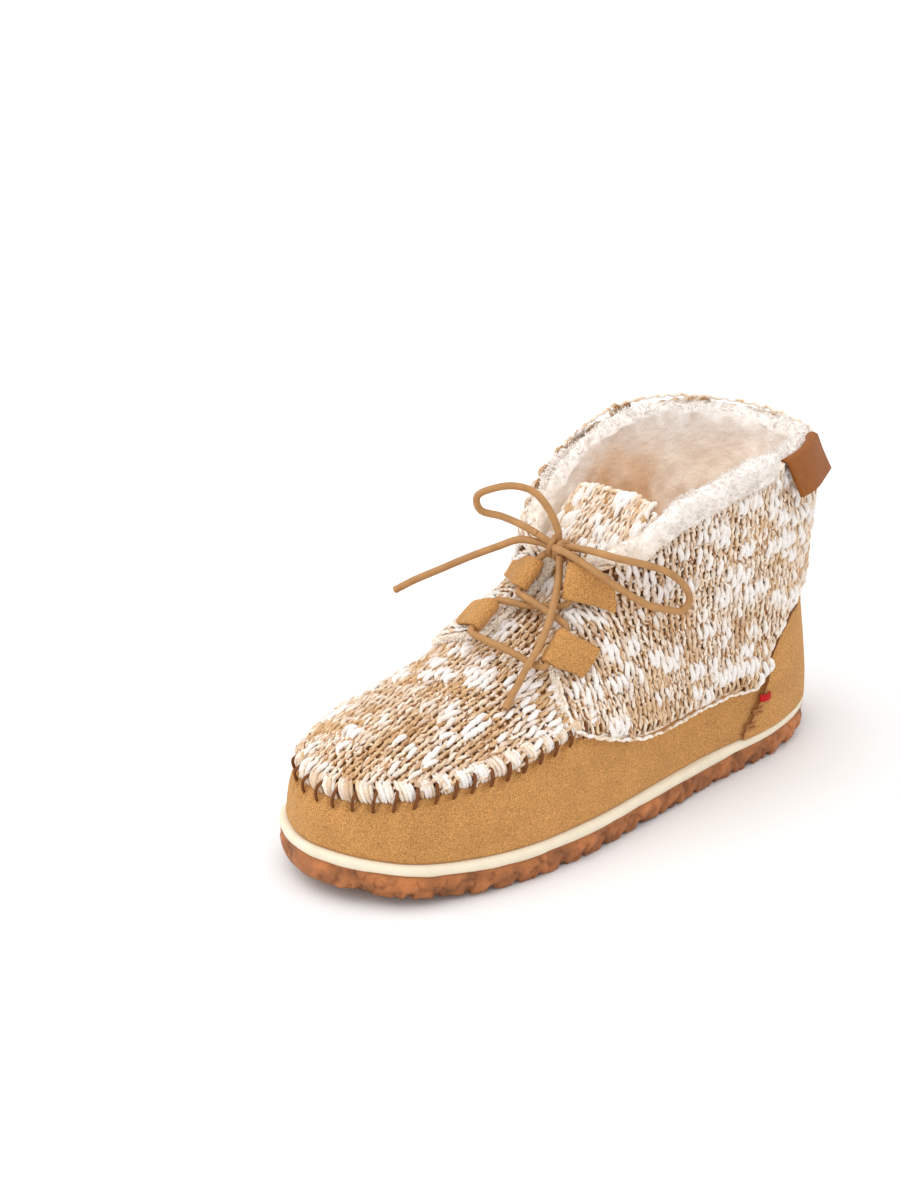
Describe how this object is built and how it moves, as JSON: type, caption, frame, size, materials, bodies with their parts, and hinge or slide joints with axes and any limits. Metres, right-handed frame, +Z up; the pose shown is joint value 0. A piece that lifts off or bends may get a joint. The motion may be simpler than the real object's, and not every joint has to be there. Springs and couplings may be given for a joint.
{
  "type": "slipper bootie",
  "caption": "Left ankle-high lace-up slipper bootie: knitted plug and quarters over a suede rand, fleece lining, cream welt, gum rubber sole, round leather lace through folded suede tabs",
  "frame": {"origin": "middle of the shoe's box without the free lace, on the floor it stands on", "axes": "+X to the toe, +Y to the outer side of the left foot, +Z up"},
  "size_m": [0.262, 0.1054, 0.1384],
  "materials": {
    "gum_rubber": "matte",
    "welt": "matte",
    "fleece": "matte",
    "knit": "matte",
    "suede": "matte",
    "tag_leather": "satin",
    "lace": "satin"
  },
  "bodies": {
    "root": {"outsole": "gum_rubber", "midsole": "welt", "insole": "fleece", "upper": "knit", "tongue": "knit", "heel_counter": "suede", "tab_lateral_lower": "suede", "tab_lateral_upper": "suede", "tab_medial_lower": "suede", "tab_medial_upper": "suede", "collar_tag": "tag_leather", "lace_run": "lace", "lace_knot": "lace", "lace_bow_medial": "lace", "lace_bow_lateral": "lace", "lace_end_front": "lace", "lace_end_medial": "lace"}
  },
  "joints": []
}
